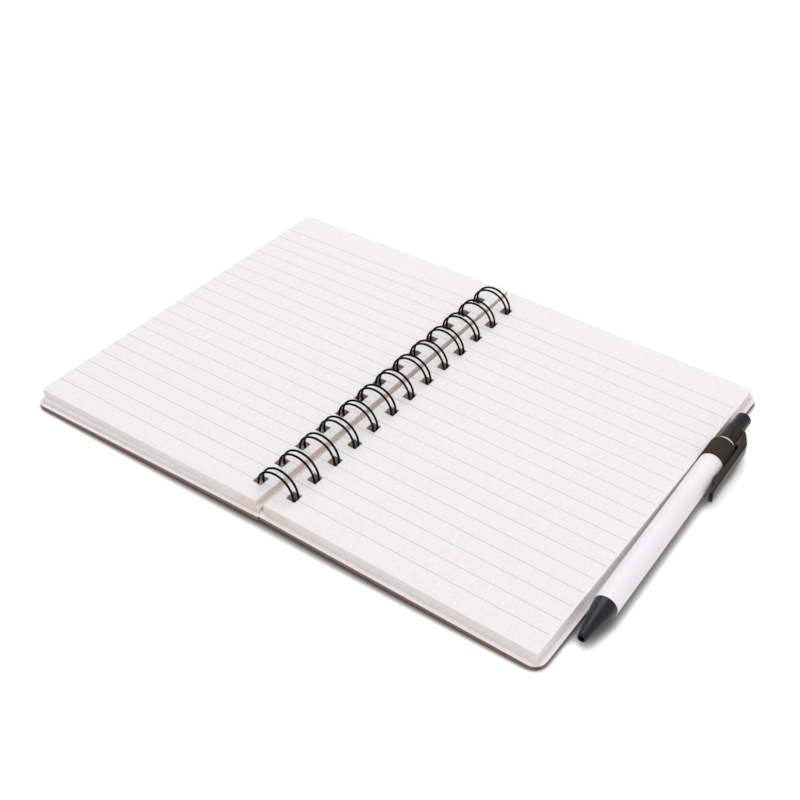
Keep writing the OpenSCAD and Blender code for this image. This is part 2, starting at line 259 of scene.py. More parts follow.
def ruledPaper(name, angle, firstLine, pivot, stopAt):
    # angle of the lines, place of the first one, the point they turn about, and where they end
    material, tree, surface, place = newMaterial(name, Roughness=0.82)
    surface.inputs["Specular IOR Level"].default_value = 0.25
    shifted = addNode(tree, "ShaderNodeVectorMath", {"operation": "SUBTRACT"}, {0: place, 1: pivot})
    across = addNode(
        tree, "ShaderNodeVectorMath", {"operation": "DOT_PRODUCT"},
        {0: shifted.outputs[0], 1: (math.sin(angle), math.cos(angle), 0)},
    ).outputs["Value"]
    along = mathNode(tree, "SUBTRACT", across, firstLine * mm)
    steps = mathNode(tree, "DIVIDE", along, paper["lineStep"] * mm)
    nearest = mathNode(tree, "ROUND", steps)
    offset = mathNode(tree, "ABSOLUTE", mathNode(tree, "SUBTRACT", steps, nearest))
    halfLine = paper["lineWidth"] / 2 / paper["lineStep"]
    soft = mathNode(tree, "DIVIDE", mathNode(tree, "SUBTRACT", halfLine * 1.3, offset), halfLine * 0.6, True)
    low = mathNode(tree, "GREATER_THAN", nearest, -0.5)
    high = mathNode(tree, "LESS_THAN", nearest, paper["lineCount"] - 0.5)
    reach = addNode(tree, "ShaderNodeSeparateXYZ", None, {0: place}).outputs["X"]
    ends = mathNode(tree, "LESS_THAN", reach, stopAt)
    within = mathNode(tree, "MULTIPLY", high, ends)
    mask = mathNode(tree, "MULTIPLY", mathNode(tree, "MULTIPLY", soft, low), within)
    ink = noise(tree, place, 2400, 2)
    mask = mathNode(tree, "MULTIPLY", mask, mathNode(tree, "ADD", ink, 0.45, True))
    fibres = noise(tree, place, 900, 4, 0.6)
    cloud = noise(tree, place, 26, 2)
    base = ramp(tree, fibres, [(0.34, paper["grain"]), (0.62, paper["white"])])
    base = mixColour(tree, mathNode(tree, "MULTIPLY", cloud, 0.10), base, srgb(247, 243, 241))
    colour = mixColour(tree, mask, base, paper["line"])
    tree.links.new(colour, surface.inputs["Base Color"])
    bump(tree, surface, noise(tree, place, 2600, 4, 0.65), 0.10, 0.00006)
    return material


def paperEdge(name):
    # the cut edges of the sheets: fine layers, a little pinker than the page, tan near the spine
    material, tree, surface, place = newMaterial(name, Roughness=0.9)
    surface.inputs["Specular IOR Level"].default_value = 0.15
    stretched = addNode(tree, "ShaderNodeMapping", None, {"Vector": place, "Scale": (35, 35, 5200)})
    inputs = {"Vector": stretched.outputs[0], "Scale": 1.0, "Detail": 2.0}
    layers = addNode(tree, "ShaderNodeTexNoise", None, inputs).outputs["Fac"]
    base = ramp(tree, layers, [(0.30, paper["edgeDark"]), (0.52, paper["edge"])])
    fromRings, fromMiddle = fromAxis(tree, place)
    nearer = mathNode(tree, "SUBTRACT", paper["tanWithin"], fromRings)
    nearSpine = mathNode(tree, "DIVIDE", nearer, paper["tanFade"], True)
    colour = mixColour(tree, nearSpine, base, mixColour(tree, 0.9, base, paper["spineTan"], "MULTIPLY"))
    # painted shade: the walls of the punched holes are darkened, as shade falls in them
    pastStrip = mathNode(tree, "GREATER_THAN", fromRings, paper["holesFrom"])
    beforePage = mathNode(tree, "LESS_THAN", fromRings, paper["holesTo"])
    inside = mathNode(tree, "MULTIPLY", pastStrip, beforePage)
    inside = mathNode(tree, "MULTIPLY", inside, mathNode(tree, "LESS_THAN", fromMiddle, paper["holesEnd"]))
    colour = mixColour(tree, inside, colour, mixColour(tree, 1.0, colour, paper["holeWallShade"], "MULTIPLY"))
    tree.links.new(colour, surface.inputs["Base Color"])
    bump(tree, surface, layers, 0.35, 0.00008)
    return material


# width of the liner's painted edge highlight along the sides and ends, in millimetres
linerHighlightBand = {"side": 1.5, "end": 1.4}


def linerPaper():
    material, tree, surface, place = newMaterial("linerPaper", Roughness=0.75)
    surface.inputs["Specular IOR Level"].default_value = 0.3
    fibres = noise(tree, place, 700, 4, 0.6)
    base = ramp(tree, fibres, [(0.35, srgb(228, 219, 221)), (0.65, srgb(235, 227, 229))])
    # painted highlight: the outermost strip is made lighter where the rounded edge would catch the light
    fromRings, fromMiddle = fromAxis(tree, place)
    sideHighlight = mathNode(tree, "GREATER_THAN", fromRings, (book["coverReach"] - linerHighlightBand["side"]) * mm)
    endHighlight = mathNode(tree, "GREATER_THAN", fromMiddle, (book["coverHalf"] - linerHighlightBand["end"]) * mm)
    highlightBand = mathNode(tree, "MAXIMUM", sideHighlight, endHighlight)
    colour = mixColour(tree, highlightBand, base, srgb(244, 238, 242))
    tree.links.new(colour, surface.inputs["Base Color"])
    bump(tree, surface, noise(tree, place, 1800, 4), 0.12, 0.00008)
    return material


# width of the board's painted edge highlight along the sides and ends, and how softly it fades
boardHighlight = {"side": 0.9, "end": 0.7, "fade": 0.0006}


def coverBoard():
    # brown grained cover paper, with a painted highlight that makes it lighter along its outer edges
    material, tree, surface, place = newMaterial("coverBoard", Roughness=0.5)
    surface.inputs["Specular IOR Level"].default_value = 0.4
    inputs = {"Vector": place, "Scale": 1100, "Smoothness": 0.6}
    grain = addNode(tree, "ShaderNodeTexVoronoi", {"feature": "SMOOTH_F1"}, inputs).outputs["Distance"]
    tone = noise(tree, place, 90, 5, 0.6)
    base = ramp(tree, tone, [(0.3, srgb(72, 52, 46)), (0.7, srgb(98, 74, 66))])
    fromRings, fromMiddle = fromAxis(tree, place)
    # painted highlight: a lighter band along the outer edges, where the rounding would catch light
    pastSide = mathNode(tree, "SUBTRACT", fromRings, (book["coverReach"] - boardHighlight["side"]) * mm)
    pastEnd = mathNode(tree, "SUBTRACT", fromMiddle, (book["coverHalf"] - boardHighlight["end"]) * mm)
    uneven = mathNode(tree, "MULTIPLY", noise(tree, place, 420, 3), boardHighlight["fade"])
    past = mathNode(tree, "ADD", mathNode(tree, "MAXIMUM", pastSide, pastEnd), uneven)
    edgeHighlight = mathNode(tree, "DIVIDE", past, boardHighlight["fade"], True)
    colour = mixColour(tree, mathNode(tree, "MULTIPLY", edgeHighlight, 0.6), base, srgb(150, 112, 92))
    tree.links.new(colour, surface.inputs["Base Color"])
    tree.links.new(ramp(tree, grain, [(0.0, grey(0.42)), (0.6, grey(0.62))]), surface.inputs["Roughness"])
    bump(tree, surface, grain, 0.35, 0.00012)
    return material


def wireEnamel():
    material, tree, surface, place = newMaterial("wireEnamel", Roughness=0.3)
    surface.inputs["Specular IOR Level"].default_value = 0.03
    tone = noise(tree, place, 500, 3)
    base = ramp(tree, tone, [(0.35, srgb(6, 4, 7)), (0.7, srgb(12, 9, 13))])
    tree.links.new(base, surface.inputs["Base Color"])
    rough = ramp(tree, noise(tree, place, 1500, 3), [(0.3, grey(0.24)), (0.7, grey(0.34))])
    tree.links.new(rough, surface.inputs["Roughness"])
    bump(tree, surface, noise(tree, place, 2200, 3), 0.08, 0.00003)
    return material


def mouldedPlastic(name, dark, light, rough, gloss=0.5, grainSize=1400, grainDepth=0.05, tint=None):
    # moulded plastic: slight drift of tone, fine texture, soft gloss
    material, tree, surface, place = newMaterial(name, Roughness=rough)
    surface.inputs["Specular IOR Level"].default_value = gloss
    tone = noise(tree, place, 60, 3)
    colour = ramp(tree, tone, [(0.3, dark), (0.7, light)])
    if tint:
        flow = noise(tree, place, 240, 4)
        colour = mixColour(tree, mathNode(tree, "MULTIPLY", flow, 0.35), colour, tint)
    tree.links.new(colour, surface.inputs["Base Color"])
    spread = ramp(tree, noise(tree, place, 320, 4), [(0.3, grey(rough * 0.88)), (0.7, grey(rough * 1.12))])
    tree.links.new(spread, surface.inputs["Roughness"])
    bump(tree, surface, noise(tree, place, grainSize, 3), grainDepth, 0.00004)
    return material


elastic = {
    "inner": 4.93, "outer": 5.36, "start": 88.35, "width": 11.4, "ribs": 9, "ribHeight": 0.11,
    "columns": 108, "turns": 96, "tail": 12.3, "tailLow": 34.8, "tailHigh": 46.2, "tailHalf": 0.22,
    "tailUnder": 0.6,
    "thread": 0.00042, "centre": (0.12128, 0.0065),
}


def wovenElastic():
    material, tree, surface, place = newMaterial("wovenElastic", Roughness=0.85)
    surface.inputs["Specular IOR Level"].default_value = 0.15
    # threads run around the pen, crossed by finer ones
    split = addNode(tree, "ShaderNodeSeparateXYZ", None, {0: place})
    threads = mathNode(tree, "MULTIPLY", split.outputs["Y"], 2 * math.pi / elastic["thread"])
    around = mathNode(tree, "SINE", threads)
    turn = addNode(tree, "ShaderNodeMath", {"operation": "ARCTAN2"}, {
        0: mathNode(tree, "SUBTRACT", split.outputs["Z"], elastic["centre"][1]),
        1: mathNode(tree, "SUBTRACT", split.outputs["X"], elastic["centre"][0]),
    }).outputs[0]
    cross = mathNode(tree, "SINE", mathNode(tree, "MULTIPLY", turn, 76))
    weave = mathNode(tree, "MULTIPLY", around, cross)
    shade = mathNode(tree, "ADD", mathNode(tree, "MULTIPLY", weave, 0.5), 0.5)
    base = ramp(tree, shade, [(0.1, srgb(46, 35, 30)), (0.9, srgb(84, 68, 58))])
    across = addNode(tree, "ShaderNodeAttribute", {"attribute_name": "across"}).outputs["Fac"]
    # painted shade: the grooves between the ribs are darkened
    swing = mathNode(tree, "MULTIPLY", across, elastic["ribs"] * math.pi)
    wave = mathNode(tree, "ABSOLUTE", mathNode(tree, "SINE", swing))
    grooveShade = mathNode(tree, "MULTIPLY", mathNode(tree, "SUBTRACT", 0.68, wave, True), 1.7, True)
    base = mixColour(tree, grooveShade, base, srgb(10, 6, 5))
    tree.links.new(base, surface.inputs["Base Color"])
    bump(tree, surface, shade, 0.5, 0.00008)
    return material


def brushedMetal(name, colour, rough):
    material, tree, surface, place = newMaterial(name, Metallic=1.0, Roughness=rough)
    marks = noise(tree, place, 2600, 4)
    darker = tuple(c * 0.82 for c in colour)
    tree.links.new(ramp(tree, marks, [(0.3, darker), (0.7, colour)]), surface.inputs["Base Color"])
    spread = ramp(tree, marks, [(0.3, grey(rough * 0.8)), (0.7, grey(rough * 1.3))])
    tree.links.new(spread, surface.inputs["Roughness"])
    bump(tree, surface, marks, 0.08, 0.00002)
    return material


rightRuled = ruledPaper("rightRuledPaper", 0.0, paper["rightFirstLine"], (0, 0, 0), paper["rightLinesEnd"])
leftPivot = ((book["ringX"] - paper["leftPivot"]) * mm, 0, 0)  # what the left page's lines lean about
leftRuled = ruledPaper("leftRuledPaper", paper["leftLean"], paper["leftFirstLine"], leftPivot, 1.0)
plainEdge = paperEdge("paperEdge")
liner = linerPaper()
board = coverBoard()
enamel = wireEnamel()
barrelWhite = mouldedPlastic("barrelWhite", srgb(238, 233, 236), srgb(243, 239, 242), 0.42, 0.3)
noseBlack = mouldedPlastic("noseBlack", srgb(20, 17, 28), srgb(28, 24, 37), 0.24, 0.25)
endTint = srgb(46, 28, 18)
endDark = mouldedPlastic("endDark", srgb(34, 25, 23), srgb(44, 33, 30), 0.3, 0.12, tint=endTint)
buttonBlack = mouldedPlastic("buttonBlack", srgb(20, 17, 26), srgb(28, 25, 34), 0.3, 0.14)
elasticWeave = wovenElastic()
clearTube = mouldedPlastic("clearTube", srgb(206, 208, 214), srgb(220, 221, 226), 0.25)
rotorPlastic = mouldedPlastic("rotorPlastic", srgb(214, 213, 210), srgb(226, 225, 222), 0.4)
tipMetal = brushedMetal("tipMetal", srgb(206, 196, 176), 0.28)
springSteel = brushedMetal("springSteel", srgb(188, 188, 190), 0.3)
print("stage: materials ready")

# Helpers for Geometry Nodes

def newTree(name, sockets):
    tree = bpy.data.node_groups.new(name, "GeometryNodeTree")
    tree.interface.new_socket(name="Geometry", in_out="INPUT", socket_type="NodeSocketGeometry")
    tree.interface.new_socket(name="Geometry", in_out="OUTPUT", socket_type="NodeSocketGeometry")
    for socketName, kind in sockets:
        tree.interface.new_socket(name=socketName, in_out="INPUT", socket_type="NodeSocket" + kind)
    start = tree.nodes.new("NodeGroupInput")
    end = tree.nodes.new("NodeGroupOutput")
    return tree, start, end


def runTree(piece, tree, values):
    modifier = piece.modifiers.new(tree.name, "NODES")
    modifier.node_group = tree
    for item in tree.interface.items_tree:
        if item.in_out == "INPUT" and item.name in values:
            modifier[item.identifier] = values[item.name]
    return applyModifiers(piece)


# Wire binding

# tipGap is in degrees of the ring, shift is how far the rings stand forward in their holes
wire = {
    "radius": 0.45, "sides": 16, "twinGap": 2.85, "bend": 1.0, "tipGap": 22, "shift": 0.4,
    "legSteps": 44, "tipSteps": 14, "bendSteps": 6,
}


def combPoint(s, y):
    # place on the flat comb rolled around the ring axis
    angle = -math.pi / 2 + (s - wire["bend"]) / book["ringRadius"]
    reach = book["ringRadius"]
    return Vector((book["ringX"] + reach * math.cos(angle), y, book["ringZ"] + reach * math.sin(angle))) * mm


def combArc(centreS, centreY, radius, start, end, steps):
    points = []
    for k in range(steps + 1):
        a = math.radians(start + (end - start) * k / steps)
        points.append(combPoint(centreS + radius * math.cos(a), centreY + radius * math.sin(a)))
    return points


def onePitchOfWire():
    y = book["firstLoop"] - wire["shift"]
    bend, half = wire["bend"], wire["twinGap"] / 2
    legEnd = bend + math.radians(360 - wire["tipGap"]) * book["ringRadius"]
    points = []
    for k in range(wire["legSteps"]):
        points.append(combPoint(bend + (legEnd - bend) * k / wire["legSteps"], y - half))
    points += combArc(legEnd, y, half, -90, 90, wire["tipSteps"])
    for k in range(1, wire["legSteps"]):
        points.append(combPoint(legEnd + (bend - legEnd) * k / wire["legSteps"], y + half))
    points += combArc(bend, y + half + bend, bend, 270, 180, wire["bendSteps"])
    points += combArc(bend, y + book["loopPitch"] - half - bend, bend, 180, 90, wire["bendSteps"])
    return points


def wireTree():
    tree, start, end = newTree("twinLoopWire", [
        ("Loops", "Int"), ("Pitch", "Float"), ("Wire Radius", "Float"), ("Sides", "Int"),
        ("Cut Off Beyond", "Float"), ("Material", "Material"),
    ])
    step = addNode(tree, "ShaderNodeCombineXYZ", None, {"Y": start.outputs["Pitch"]})
    row = addNode(tree, "GeometryNodeMeshLine", {"mode": "OFFSET"}, {
        "Count": start.outputs["Loops"], "Offset": step.outputs[0]})
    copies = addNode(tree, "GeometryNodeInstanceOnPoints", None, {
        "Points": row.outputs[0], "Instance": start.outputs["Geometry"]})
    real = addNode(tree, "GeometryNodeRealizeInstances", None, {0: copies.outputs[0]})
    joined = addNode(tree, "GeometryNodeMergeByDistance", None, {
        "Geometry": real.outputs[0], "Distance": 1e-6})
    position = addNode(tree, "GeometryNodeInputPosition")
    split = addNode(tree, "ShaderNodeSeparateXYZ", None, {0: position.outputs[0]})
    beyond = addNode(tree, "FunctionNodeCompare", {"data_type": "FLOAT", "operation": "GREATER_THAN"}, {
        "A": split.outputs["Y"], "B": start.outputs["Cut Off Beyond"]})
    kept = addNode(tree, "GeometryNodeDeleteGeometry", {"domain": "POINT"}, {
        "Geometry": joined.outputs[0], "Selection": beyond.outputs[0]})
    path = addNode(tree, "GeometryNodeMeshToCurve", None, {"Mesh": kept.outputs[0]})
    ring = addNode(tree, "GeometryNodeCurvePrimitiveCircle", None, {
        "Resolution": start.outputs["Sides"], "Radius": start.outputs["Wire Radius"]})
    tube = addNode(tree, "GeometryNodeCurveToMesh", None, {
        "Curve": path.outputs[0], "Profile Curve": ring.outputs[0], "Fill Caps": True})
    smooth = addNode(tree, "GeometryNodeSetShadeSmooth", None, {"Geometry": tube.outputs[0]})
    whole = addNode(tree, "GeometryNodeRealizeInstances", None, {0: smooth.outputs[0]})
    painted = addNode(tree, "GeometryNodeSetMaterial", None, {
        "Geometry": whole.outputs[0], "Material": start.outputs["Material"]})
    tree.links.new(painted.outputs[0], end.inputs[0])
    return tree


pathPoints = onePitchOfWire()
pathEdges = [(k, k + 1) for k in range(len(pathPoints) - 1)]
bindingWire = addObject("bindingWire", meshFrom("bindingWire", pathPoints, [], pathEdges))
lastLoop = book["firstLoop"] - wire["shift"] + (book["loopCount"] - 1) * book["loopPitch"]
lastLeg = lastLoop + wire["twinGap"] / 2
runTree(bindingWire, wireTree(), {
    "Loops": book["loopCount"], "Pitch": book["loopPitch"] * mm, "Wire Radius": wire["radius"] * mm,
    "Sides": wire["sides"], "Cut Off Beyond": (lastLeg + 0.05) * mm, "Material": enamel,
})
outward(bindingWire.data)
bindingWire.data.polygons.foreach_set("use_smooth", [True] * len(bindingWire.data.polygons))
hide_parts("wire_binding")
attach(bindingWire, "root")
print("stage: wire binding", len(bindingWire.data.polygons), "faces")

# Blocks of sheets

sheets = {
    "step": 0.1, "thickness": 0.093, "slide": 0.07, "corner": 0.6,
    "rightEdge": 1.0, "rightFloor": -4.35, "rightCount": 42,
    "lowerEdge": 1.3, "lowerFloor": -5.0, "lowerCount": 19, "lowerBack": 0.4,
    "upperEdge": 2.75, "upperFloor": -3.1, "upperCount": 30, "fan": math.radians(0.7),
}


def sheetGrid(edge):
    # one sheet as a grid of cells in (distance from the ring axis, along the spine), without its holes
    holeStart = edge + book["spineStrip"]
    us = [edge, holeStart, holeStart + book["holeWidth"], edge + book["pageWidth"]]
    ys = [book["pageFront"]]
    for k in range(book["loopCount"]):
        centre = book["firstLoop"] + k * book["loopPitch"]
        ys += [centre - book["holeLength"] / 2, centre + book["holeLength"] / 2]
    ys.append(book["pageFront"] + book["pageHeight"])
    cells = []
    for i in range(3):
        for j in range(len(ys) - 1):
            if not (i == 1 and j % 2 == 1):
                cells.append((i, j))
    return us, ys, cells


def sheetMesh(name, edge, thickness, place):
    # closed thin plate; place(u, y, w) puts a point in the frame
    us, ys, cells = sheetGrid(edge)
    work = bmesh.new()
    corners = {}
    for i, j in cells:
        for a, b in ((i, j), (i + 1, j), (i + 1, j + 1), (i, j + 1)):
            if (a, b) not in corners:
                corners[(a, b)] = work.verts.new((us[a], ys[b], 0))
        work.faces.new([corners[c] for c in ((i, j), (i + 1, j), (i + 1, j + 1), (i, j + 1))])
    outer = [corners[(3, 0)], corners[(3, len(ys) - 1)]]
    bmesh.ops.bevel(work, geom=outer, offset=sheets["corner"], segments=4, profile=0.5, affect="VERTICES")
    made = bmesh.ops.extrude_face_region(work, geom=work.faces[:])
    for element in made["geom"]:
        if isinstance(element, bmesh.types.BMVert):
            element.co.z += thickness
    for vertex in work.verts:
        vertex.co = place(*vertex.co)
    bmesh.ops.recalc_face_normals(work, faces=work.faces)
    mesh = bpy.data.meshes.new(name)
    work.to_mesh(mesh)
    work.free()
    return mesh


def stackTree():
    tree, start, end = newTree("sheetStack", [
        ("Sheets", "Int"), ("Step", "Vector"), ("Slide", "Vector"), ("Seed", "Int"),
        ("Page", "Material"), ("Cut Edge", "Material"),
    ])
    column = addNode(tree, "GeometryNodeMeshLine", {"mode": "OFFSET"}, {
        "Count": start.outputs["Sheets"], "Offset": start.outputs["Step"]})
    less = addNode(tree, "ShaderNodeVectorMath", {"operation": "SCALE"}, {
        0: start.outputs["Slide"], "Scale": -1.0})
    loose = addNode(tree, "FunctionNodeRandomValue", {"data_type": "FLOAT_VECTOR"}, {
        "Min": less.outputs[0], "Max": start.outputs["Slide"], "Seed": start.outputs["Seed"]})
    moved = addNode(tree, "GeometryNodeSetPosition", None, {
        "Geometry": column.outputs[0], "Offset": loose.outputs[0]})
    copies = addNode(tree, "GeometryNodeInstanceOnPoints", None, {
        "Points": moved.outputs[0], "Instance": start.outputs["Geometry"]})
    real = addNode(tree, "GeometryNodeRealizeInstances", None, {0: copies.outputs[0]})
    edges = addNode(tree, "GeometryNodeSetMaterial", None, {
        "Geometry": real.outputs[0], "Material": start.outputs["Cut Edge"]})
    normal = addNode(tree, "GeometryNodeInputNormal")
    split = addNode(tree, "ShaderNodeSeparateXYZ", None, {0: normal.outputs[0]})
    flat = addNode(tree, "FunctionNodeCompare", {"data_type": "FLOAT", "operation": "GREATER_THAN"}, {
        "A": mathNode(tree, "ABSOLUTE", split.outputs["Z"]), "B": 0.7})
    faces = addNode(tree, "GeometryNodeSetMaterial", None, {
        "Geometry": edges.outputs[0], "Selection": flat.outputs[0], "Material": start.outputs["Page"]})
    tree.links.new(faces.outputs[0], end.inputs[0])
    return tree


sheetStack = stackTree()


def addStack(name, node, body, edge, floor, count, place, page, seed):
    lowest = sheetMesh(name, edge, sheets["thickness"], lambda u, y, w: place(u, y, floor + w))
    stack = addObject(name, lowest)
    step = place(0, 0, sheets["step"]) - place(0, 0, 0)
    runTree(stack, sheetStack, {
        "Sheets": count, "Step": step, "Slide": (sheets["slide"] * mm, sheets["slide"] * mm, 0),
        "Seed": seed, "Page": page, "Cut Edge": plainEdge,
    })
    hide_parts(node)
    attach(stack, body)
    return stack


def onLeftLower(u, y, w):
    return onLeft(u, y - sheets["lowerBack"], w)


def onLeftUpper(u, y, w):
    # turned about the group's front corner at the spine
    edge = sheets["upperEdge"]
    du, dy = u - edge, y - book["pageFront"]
    c, s = math.cos(sheets["fan"]), math.sin(sheets["fan"])
    return onLeft(edge + du * c - dy * s, book["pageFront"] + du * s + dy * c, w)


rightStack = addStack(
    "rightSheets", "right_pages", "right_pages",
    sheets["rightEdge"], sheets["rightFloor"], sheets["rightCount"], onRight, rightRuled, 3,
)
addStack(
    "turnedSheetsLower", "turned_pages_lower", "turned_pages",
    sheets["lowerEdge"], sheets["lowerFloor"], sheets["lowerCount"], onLeftLower, leftRuled, 5,
)
addStack(
    "turnedSheetsUpper", "turned_pages_upper", "turned_pages",
    sheets["upperEdge"], sheets["upperFloor"], sheets["upperCount"], onLeftUpper, leftRuled, 9,
)
print("stage: sheets", len(rightStack.data.polygons), "faces in the right block")

# Covers

boardShape = {"edgeRounding": 0.35, "roundingSteps": 3, "flatAbove": 1e-5}


def roundedBoard(name, node, body):
    # the CAD board with its outer edges rounded over
    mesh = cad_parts[node].data.copy()
    mesh.name = name
    work = bmesh.new()
    work.from_mesh(mesh)
    bmesh.ops.remove_doubles(work, verts=work.verts, dist=2e-6)
    bmesh.ops.dissolve_limit(work, angle_limit=math.radians(0.4), verts=work.verts, edges=work.edges)
    work.to_mesh(mesh)
    work.free()
    if "custom_normal" in mesh.attributes:
        mesh.attributes.remove(mesh.attributes["custom_normal"])
    piece = addObject(name, mesh)
    rounding = piece.modifiers.new("rounding", "BEVEL")
    rounding.width = boardShape["edgeRounding"] * mm
    rounding.segments = boardShape["roundingSteps"]
    rounding.limit_method = "ANGLE"
    rounding.angle_limit = math.radians(50)
    applyModifiers(piece)
    piece.data.materials.clear()
    piece.data.materials.append(board)
    smoothBySharpness(piece.data, 40)
    for face in piece.data.polygons:
        if face.area > boardShape["flatAbove"]:
            face.use_smooth = False
    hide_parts(node)
    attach(piece, body)
    return piece


backBoard = roundedBoard("backBoard", "back_cover_board", "root")
frontBoard = roundedBoard("frontBoard", "front_cover_board", "front_cover")
print("stage: covers", len(backBoard.data.polygons), "faces")

# Pen

pen = {
    "barrelStart": -1.2, "barrelEnd": 101.3, "endTop": 112.4, "buttonTop": 121.3, "stemEnd": 94.7,
    "segments": 96, "clipRounding": 0.38,
    "clipWidth": 4.7, "clipReach": 8.3, "clipLow": 70.2, "clipKnee": 103.4,
}


def filleted(points, closed):
    # (across, along, corner radius) to a list of (across, along) with rounded corners
    made = []
    count = len(points)
    for k, (x, s, radius) in enumerate(points):
        here = Vector((x, s))
        if radius == 0 or (not closed and k in (0, count - 1)):
            made.append(here)
            continue
        before = Vector(points[k - 1][:2]) - here
        after = Vector(points[(k + 1) % count][:2]) - here
        half = before.angle(after) / 2
        reach = min(radius / math.tan(half), before.length * 0.49, after.length * 0.49)
        a, b = before.normalized() * reach + here, after.normalized() * reach + here
        steps = 6
        for j in range(steps + 1):
            t = j / steps
            made.append(a * (1 - t) ** 2 + here * (2 * t * (1 - t)) + b * t ** 2)
    return made


def revolved(name, profile, closed):
    # turns a profile of (radius, along) about the pen's axis
    points, faces, rings = [], [], []
    turns = pen["segments"]
    for radius, along in profile:
        if radius < 1e-6:
            rings.append([len(points)])
            points.append((0, 0, along * mm))
            continue
        rings.append(list(range(len(points), len(points) + turns)))
        for k in range(turns):
            a = 2 * math.pi * k / turns
            points.append((radius * mm * math.cos(a), radius * mm * math.sin(a), along * mm))
    pairs = list(zip(rings, rings[1:])) + ([(rings[-1], rings[0])] if closed else [])
    for first, second in pairs:
        for k in range(turns):
            n = (k + 1) % turns
            if len(first) == 1 and len(second) == 1:
                break
            if len(first) == 1:
                faces.append((first[0], second[k], second[n]))
            elif len(second) == 1:
                faces.append((first[k], second[0], first[n]))
            else:
                faces.append((first[k], second[k], second[n], first[n]))
    mesh = meshFrom(name, points, faces)
    mesh.transform(penPlace)
    outward(mesh)
    return mesh


def finishPen(name, mesh, material, sharp, node, body):
    mesh.materials.clear()
    mesh.materials.append(material)
    smoothBySharpness(mesh, sharp)
    piece = addObject(name, mesh)
    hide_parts(node)
    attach(piece, body)
    return piece


start, end, top = pen["barrelStart"], pen["barrelEnd"], pen["endTop"]
barrelProfile = filleted([
    (4.0, start, 0), (4.88, start, 0.12), (4.88, end - 2.4, 1.6), (4.35, end, 0.15), (4.0, end, 0),
], True)
barrelMesh = revolved("penBarrel", barrelProfile, True)
penBarrel = finishPen("penBarrel", barrelMesh, barrelWhite, 40, "pen_barrel", "root")

noseProfile = filleted([
    (1.25, start - 17.85, 0.1), (1.62, start - 17.85, 0.18), (1.9, start - 17.0, 0.5),
    (4.2, start - 3.8, 9.0), (4.7, start, 0.1),
    (3.95, start, 0), (3.95, start + 7.7, 0), (3.55, start + 8.2, 0),
    (2.4, start + 8.2, 0), (2.4, -11.05, 0), (1.25, -11.05, 0),
], True)
noseMesh = revolved("penNose", noseProfile, True)
penNose = finishPen("penNose", noseMesh, noseBlack, 40, "pen_nose", "root")

buttonProfile = filleted([
    (0, pen["stemEnd"], 0), (2.5, pen["stemEnd"], 0), (2.5, top - 0.2, 0), (3.3, top - 0.2, 0),
    (3.3, pen["buttonTop"], 0.95), (0, pen["buttonTop"], 0),
], False)
buttonMesh = revolved("penButton", buttonProfile, False)
penButton = finishPen("penButton", buttonMesh, buttonBlack, 40, "pen_button", "pen_button")

housingProfile = filleted([
    (2.0, end - 12.2, 0), (3.95, end - 12.2, 0), (3.95, end, 0), (4.1, end, 0.1), (3.95, top, 0.45),
    (3.42, top, 0.08), (3.4, top - 5.4, 0), (2.6, top - 5.4, 0), (2.6, pen["stemEnd"], 0),
    (2.0, pen["stemEnd"], 0),
], True)
housing = revolved("penClipHousing", housingProfile, True)


def clipMesh():
    reach, low, knee = pen["clipReach"], pen["clipLow"], pen["clipKnee"]
    side = filleted([
        (3.75, top - 0.55, 0.2), (5.25, top - 2.2, 1.5),
        (reach - 0.2, knee + 0.9, 1.2), (reach, knee - 0.6, 1.0),
        (reach, low + 6.3, 6.0), (reach + 0.4, low, 0.25),
        (reach - 1.3, low, 0.3), (reach - 1.8, low + 5.2, 2.0),
        (4.98, low + 8.2, 0.8), (4.98, low + 9.8, 0.8),
        (reach - 2.5, low + 12.5, 3.0), (reach - 2.5, end + 0.25, 0.6), (3.75, end + 0.25, 0),
    ], True)
    half = pen["clipWidth"] / 2
    work = bmesh.new()
    lowRing = [work.verts.new((x * mm, -half * mm, s * mm)) for x, s in side]
    face = work.faces.new(lowRing)
    made = bmesh.ops.extrude_face_region(work, geom=[face])
    for element in made["geom"]:
        if isinstance(element, bmesh.types.BMVert):
            element.co.y += 2 * half * mm
    bmesh.ops.recalc_face_normals(work, faces=work.faces)
    mesh = bpy.data.meshes.new("clip")
    work.to_mesh(mesh)
    work.free()
    piece = addObject("clipWork", mesh)
    rounding = piece.modifiers.new("rounding", "BEVEL")
    rounding.width = pen["clipRounding"] * mm
    rounding.segments = 3
    rounding.limit_method = "ANGLE"
    rounding.angle_limit = math.radians(60)
    applyModifiers(piece)
    made = piece.data
    bpy.data.objects.remove(piece)
    made.transform(penPlace)
    return made


work = bmesh.new()
work.from_mesh(housing)
work.from_mesh(clipMesh())
work.to_mesh(housing)
work.free()
penClipHousing = finishPen("penClipHousing", housing, endDark, 35, "pen_clip_housing", "root")
print("stage: pen body")

# Elastic loop

